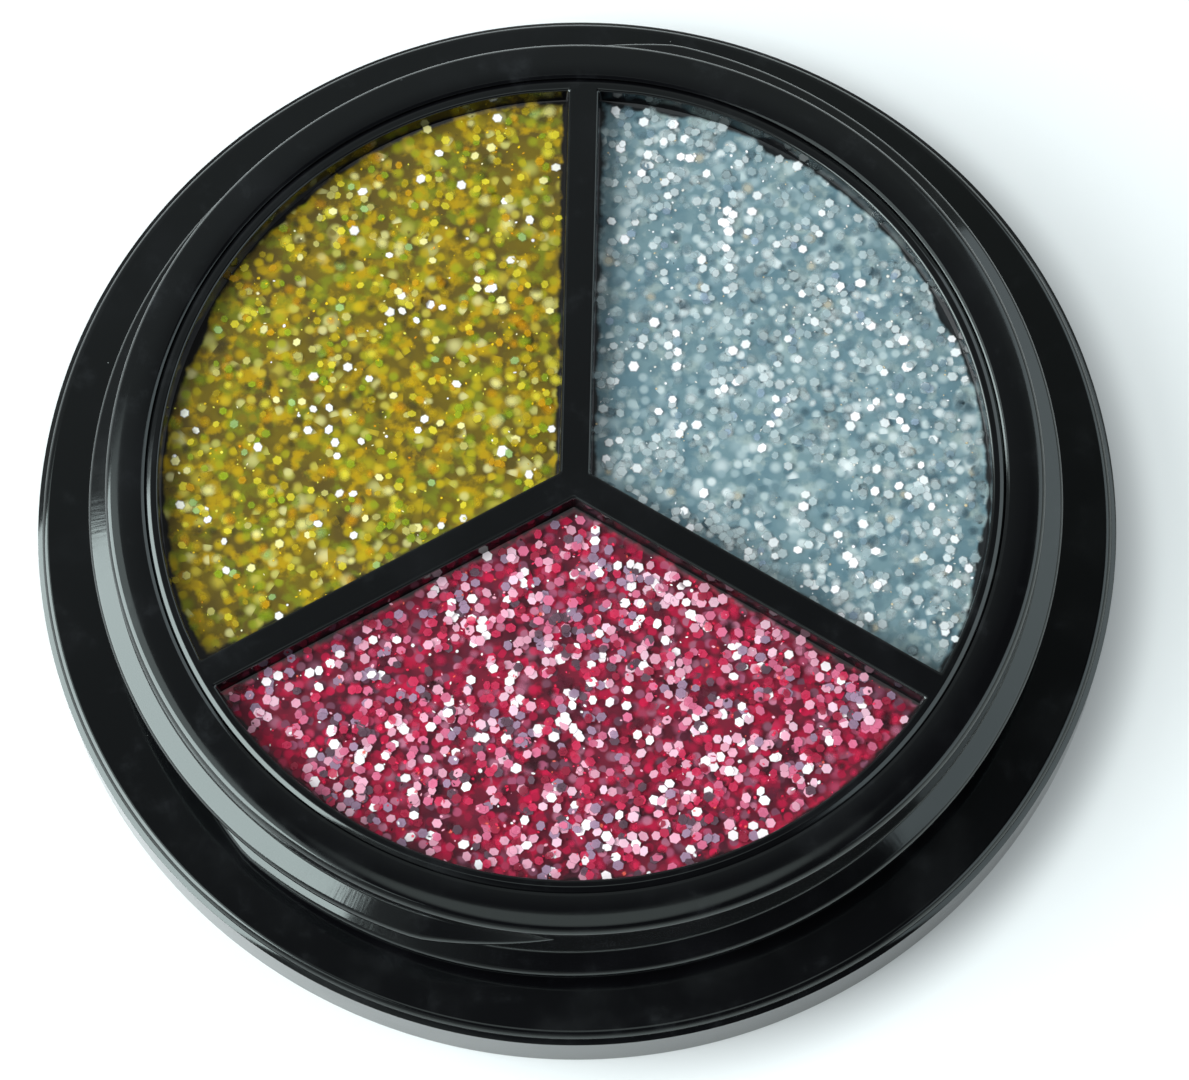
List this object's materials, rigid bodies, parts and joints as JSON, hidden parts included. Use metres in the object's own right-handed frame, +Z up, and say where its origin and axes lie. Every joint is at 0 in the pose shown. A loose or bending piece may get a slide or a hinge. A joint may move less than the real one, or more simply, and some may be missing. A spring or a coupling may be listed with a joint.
{
  "type": "eyeshadow palette",
  "caption": "Low round pot with a screw-thread neck, lid off, holding a lift-out divided tray of glitter gel eyeshadow.",
  "frame": {"origin": "centre of the foot ring, on the table, on the neck's axis", "axes": "+Z up along the neck's axis; one divider arm of the tray points to +Y"},
  "size_m": [0.04, 0.04, 0.0072],
  "materials": {
    "black_plastic": "black moulded plastic, satin gloss",
    "gold_gel": "olive-gold clear gel with a wet gloss",
    "silver_gel": "slate-blue clear gel with a wet gloss",
    "rose_gel": "crimson clear gel with a wet gloss",
    "gold_flake": "metallised film, yellow to lime",
    "silver_flake": "metallised film, pale silver blue",
    "rose_flake": "metallised film, pink"
  },
  "bodies": {
    "pot": {"base_shell": "black_plastic", "threaded_jar": "black_plastic"},
    "tray": {"compartment_tray": "black_plastic", "gold_gel": "gold_gel", "silver_gel": "silver_gel", "rose_gel": "rose_gel", "gold_flakes": "gold_flake", "silver_flakes": "silver_flake", "rose_flakes": "rose_flake"}
  },
  "joints": [
    {"name": "tray_lift", "type": "slide", "parent": "pot", "child": "tray", "axis": [0, 0, 1], "range_m": [0, 0.008]}
  ]
}
